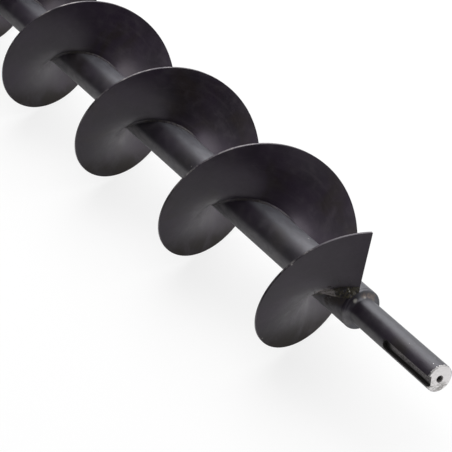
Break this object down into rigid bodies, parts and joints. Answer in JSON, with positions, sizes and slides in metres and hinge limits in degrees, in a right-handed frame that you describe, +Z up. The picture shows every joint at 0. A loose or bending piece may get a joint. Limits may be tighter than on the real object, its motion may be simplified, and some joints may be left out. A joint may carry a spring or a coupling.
{
  "type": "screw conveyor auger",
  "caption": "Left-hand screw conveyor auger: full-pitch sectional flighting welded along a centre tube, with a keyed drive shaft and a plain tail journal.",
  "frame": {"origin": "on the auger's axis, where the drive journal leaves its shoulder fillet", "axes": "+X along the axis towards the drive end, +Z up, with the auger lying on the rims of its flights"},
  "size_m": [1.381, 0.1998, 0.1998],
  "materials": {
    "flight_paint": "satin black paint, worn bright along the rims",
    "tube_paint": "satin black paint",
    "shaft_paint": "satin black paint, the drive end's face bare machined steel",
    "weld_paint": "rough weld beads, painted over"
  },
  "bodies": {
    "root": {"centre_tube": "tube_paint", "drive_shaft": "shaft_paint", "tail_shaft": "shaft_paint", "flight_1": "flight_paint", "flight_2": "flight_paint", "flight_3": "flight_paint", "flight_4": "flight_paint", "flight_5": "flight_paint", "drive_seam_weld": "weld_paint", "tail_seam_weld": "weld_paint", "drive_end_weld": "weld_paint", "tail_end_weld": "weld_paint", "root_weld_1": "weld_paint", "root_weld_2": "weld_paint", "root_weld_3": "weld_paint", "root_weld_4": "weld_paint", "root_weld_5": "weld_paint", "butt_weld_1": "weld_paint", "butt_weld_2": "weld_paint", "butt_weld_3": "weld_paint", "butt_weld_4": "weld_paint"}
  },
  "joints": []
}
